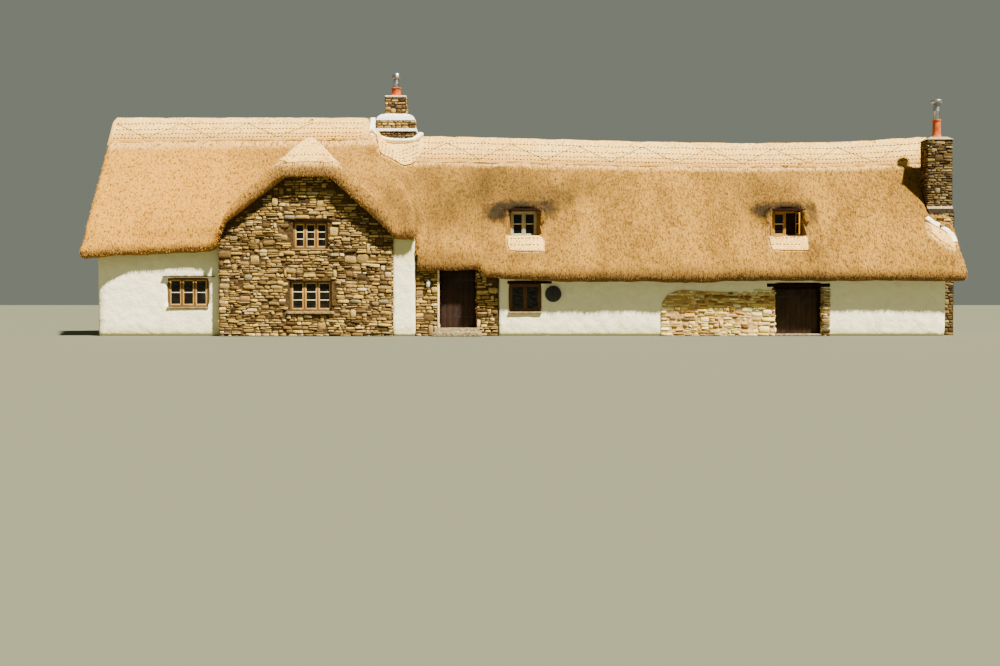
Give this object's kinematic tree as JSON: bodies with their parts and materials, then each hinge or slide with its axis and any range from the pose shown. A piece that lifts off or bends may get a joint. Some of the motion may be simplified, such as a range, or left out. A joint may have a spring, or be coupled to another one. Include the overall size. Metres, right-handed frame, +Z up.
{
  "type": "thatched cottage",
  "caption": "Long thatched stone and limewash cottage with a gabled cross wing, a lower stable range, ridge and end chimneys, eyebrow dormers and hinged plank doors.",
  "frame": {"origin": "centre of the base of the house, at ground level", "axes": "+X along the front to the right as seen from the front, +Y from the front to the back, +Z up"},
  "size_m": [30.345, 7.93, 9.68],
  "materials": {
    "limewash": "uneven matt limewash over rubble",
    "rubble": "random rubble stone with pale mortar",
    "thatch": "combed straw, honey tan, weathered",
    "ridge_straw": "pale block-cut ridge straw with spars",
    "oak": "oiled honey oak",
    "cream_frame": "greenish cream paint",
    "brown_frame": "dark brown stain",
    "dark_plank": "very dark brown ledged planks",
    "black_beam": "blackened timber",
    "slate_floor": "worn flagstone",
    "floor_boards": "wide waxed boards",
    "terracotta": "unglazed clay, sooty",
    "stainless": "stainless flue liner",
    "black_iron": "black painted iron"
  },
  "bodies": {
    "house": {"west_end_wall": "limewash", "east_end_wall": "limewash", "front_wall_west": "limewash", "wing_gable_wall": "rubble", "white_pier": "limewash", "door_pier_west": "rubble", "door_pier_east": "rubble", "door_head_wall": "limewash", "front_wall_middle": "limewash", "shippon_head_wall": "limewash", "front_wall_east": "limewash", "rear_wall_west": "limewash", "rear_wall_east": "limewash", "ground_floor": "slate_floor", "shippon_floor": "slate_floor", "upper_floor": "floor_boards", "central_stack": "rubble", "thatch_front_west": "thatch", "thatch_wing_west": "thatch", "thatch_wing_east": "thatch", "thatch_front_centre": "thatch", "thatch_front_east": "thatch", "thatch_rear_west": "thatch", "thatch_rear_east": "thatch", "ridge_cap_west": "ridge_straw", "ridge_cap_east": "ridge_straw", "wing_cap": "ridge_straw", "dormer_1": "cream_frame", "dormer_2": "oak", "rear_dormer_1": "cream_frame", "rear_dormer_2": "oak", "window_west": "oak", "gable_window_lower": "oak", "gable_window_upper": "oak", "window_middle": "brown_frame", "rear_window_1": "oak", "rear_window_2": "oak", "rear_window_3": "oak", "front_door_frame": "black_beam", "doorstep": "slate_floor", "shippon_door_frame": "black_beam", "shippon_lintel": "black_beam", "shippon_sill": "slate_floor", "window_lintel": "black_beam", "central_pot": "terracotta", "central_cowl": "stainless", "end_stack": "rubble", "end_pot": "terracotta", "end_cowl": "stainless", "lantern": "black_iron", "wall_disc": "black_iron"},
    "front_door_leaf": {"front_door": "dark_plank"},
    "shippon_door_leaf": {"shippon_door": "dark_plank"}
  },
  "joints": [
    {"name": "front_door_hinge", "type": "hinge", "parent": "house", "child": "front_door_leaf", "pos_m": [-1.7325, -2.838, 1.29], "axis": [0, 0, -1], "range_deg": [0, 90]},
    {"name": "shippon_door_hinge", "type": "hinge", "parent": "house", "child": "shippon_door_leaf", "pos_m": [8.6575, -2.838, 0.86], "axis": [0, 0, 1], "range_deg": [0, 90]}
  ]
}
